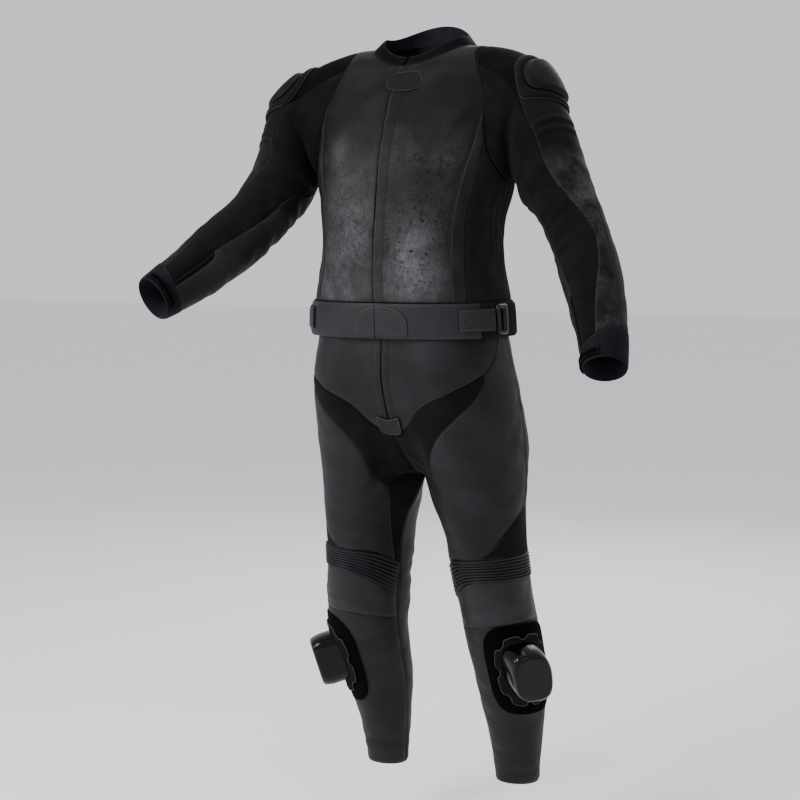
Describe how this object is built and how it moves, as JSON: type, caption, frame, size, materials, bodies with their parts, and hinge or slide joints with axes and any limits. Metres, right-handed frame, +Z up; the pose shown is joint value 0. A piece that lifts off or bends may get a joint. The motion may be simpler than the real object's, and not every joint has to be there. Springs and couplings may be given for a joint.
{
  "type": "motorcycle race suit",
  "caption": "Two-piece leather motorcycle race suit in its worn, hollow shape, with armoured shoulders, accordion knees, knee sliders, neoprene cuffs and a belted waist.",
  "frame": {"origin": "between the shoulders, level with the shoulder points, where the wearer carries the suit", "axes": "+Z up, the front faces -Y, the wearer's left is +X"},
  "size_m": [0.8303, 0.559, 1.4098],
  "materials": {
    "leather": "semi-gloss, grained",
    "worn_leather": "worn patina",
    "stretch_cloth": "matte ribbed stretch",
    "elastic": "gathered elastic",
    "neoprene": "smooth matte",
    "zip_tape": "woven tape with moulded teeth",
    "hook_and_loop": "napped",
    "buckle_plastic": "moulded",
    "slider_base": "moulded, pale edge",
    "slider_plastic": "polished",
    "protector_shell": "satin shell with glossy bevel"
  },
  "bodies": {
    "root": {"back": "leather", "belt_buckle_left": "buckle_plastic", "belt_buckle_right": "buckle_plastic", "belt_strap_left": "leather", "belt_strap_right": "leather", "collar": "leather", "crotch_left": "stretch_cloth", "crotch_right": "stretch_cloth", "cuff_strap_left": "hook_and_loop", "cuff_strap_right": "hook_and_loop", "fly_patch": "leather", "fly_zip": "zip_tape", "front_left": "worn_leather", "front_right": "worn_leather", "front_zip": "zip_tape", "knee_left": "leather", "knee_pleats_left": "leather", "knee_pleats_right": "leather", "knee_right": "leather", "knee_slider_left": "slider_plastic", "knee_slider_right": "slider_plastic", "knee_wedge_left": "stretch_cloth", "knee_wedge_right": "stretch_cloth", "leg_back_left": "leather", "leg_back_right": "leather", "neck_tab": "leather", "shin_left": "leather", "shin_right": "leather", "shoulder_cup_left": "protector_shell", "shoulder_cup_right": "protector_shell", "shoulder_ring_left": "leather", "shoulder_ring_right": "leather", "side_front_left": "leather", "side_front_right": "leather", "side_left": "stretch_cloth", "side_right": "stretch_cloth", "sleeve_cuff_left": "neoprene", "sleeve_cuff_right": "neoprene", "sleeve_outer_left": "leather", "sleeve_outer_right": "leather", "sleeve_shoulder_left": "leather", "sleeve_shoulder_right": "leather", "sleeve_stretch_left": "stretch_cloth", "sleeve_stretch_right": "stretch_cloth", "sleeve_under_left": "leather", "sleeve_under_right": "leather", "sleeve_zip_left": "zip_tape", "sleeve_zip_right": "zip_tape", "slider_base_left": "slider_base", "slider_base_right": "slider_base", "thigh_left": "leather", "thigh_right": "leather", "velcro_left": "hook_and_loop", "velcro_right": "hook_and_loop", "waistband_elastic": "elastic", "waistband_front": "leather", "waistband_patch": "leather", "yoke_left": "leather", "yoke_right": "leather"}
  },
  "joints": []
}
